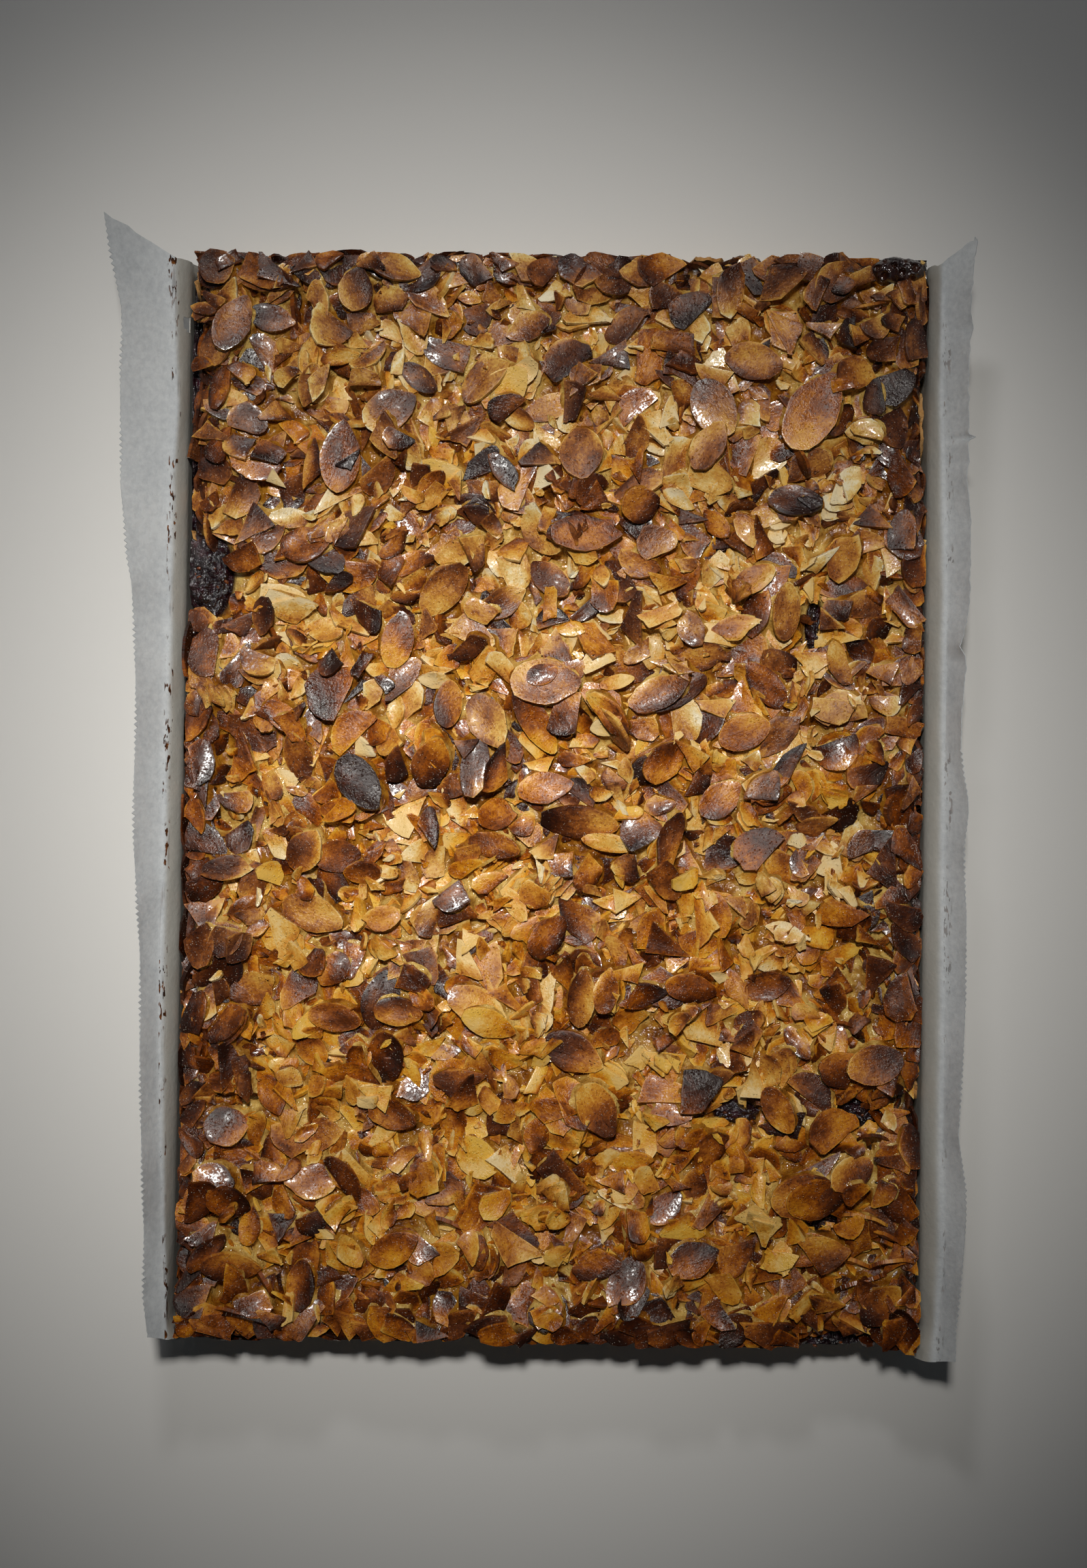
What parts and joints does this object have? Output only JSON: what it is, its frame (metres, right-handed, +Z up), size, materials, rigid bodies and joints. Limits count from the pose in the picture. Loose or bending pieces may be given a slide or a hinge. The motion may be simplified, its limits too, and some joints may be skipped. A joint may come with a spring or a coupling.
{
  "type": "almond raspberry slice",
  "caption": "Whole rectangular tray-baked slice on its folded baking paper: shortbread base, raspberry jam and a caramel topping of flaked almonds.",
  "frame": {"origin": "middle of the underside of the baking paper, where the slice rests", "axes": "+Y along the length of the slice, towards the end at the top of the picture; +Z up; +X to the right seen from above"},
  "size_m": [0.234, 0.307, 0.0423],
  "materials": {
    "baking_paper": "thin greaseproof paper, matt, with caramel stains along its creases",
    "shortbread": "dry, crumbly, pale gold and browner at the outside",
    "raspberry_jam": "dark, wet and glossy",
    "almond_topping": "toasted almond flakes under a thin caramel glaze"
  },
  "bodies": {
    "root": {"paper": "baking_paper", "base": "shortbread", "jam": "raspberry_jam", "topping": "almond_topping"}
  },
  "joints": []
}
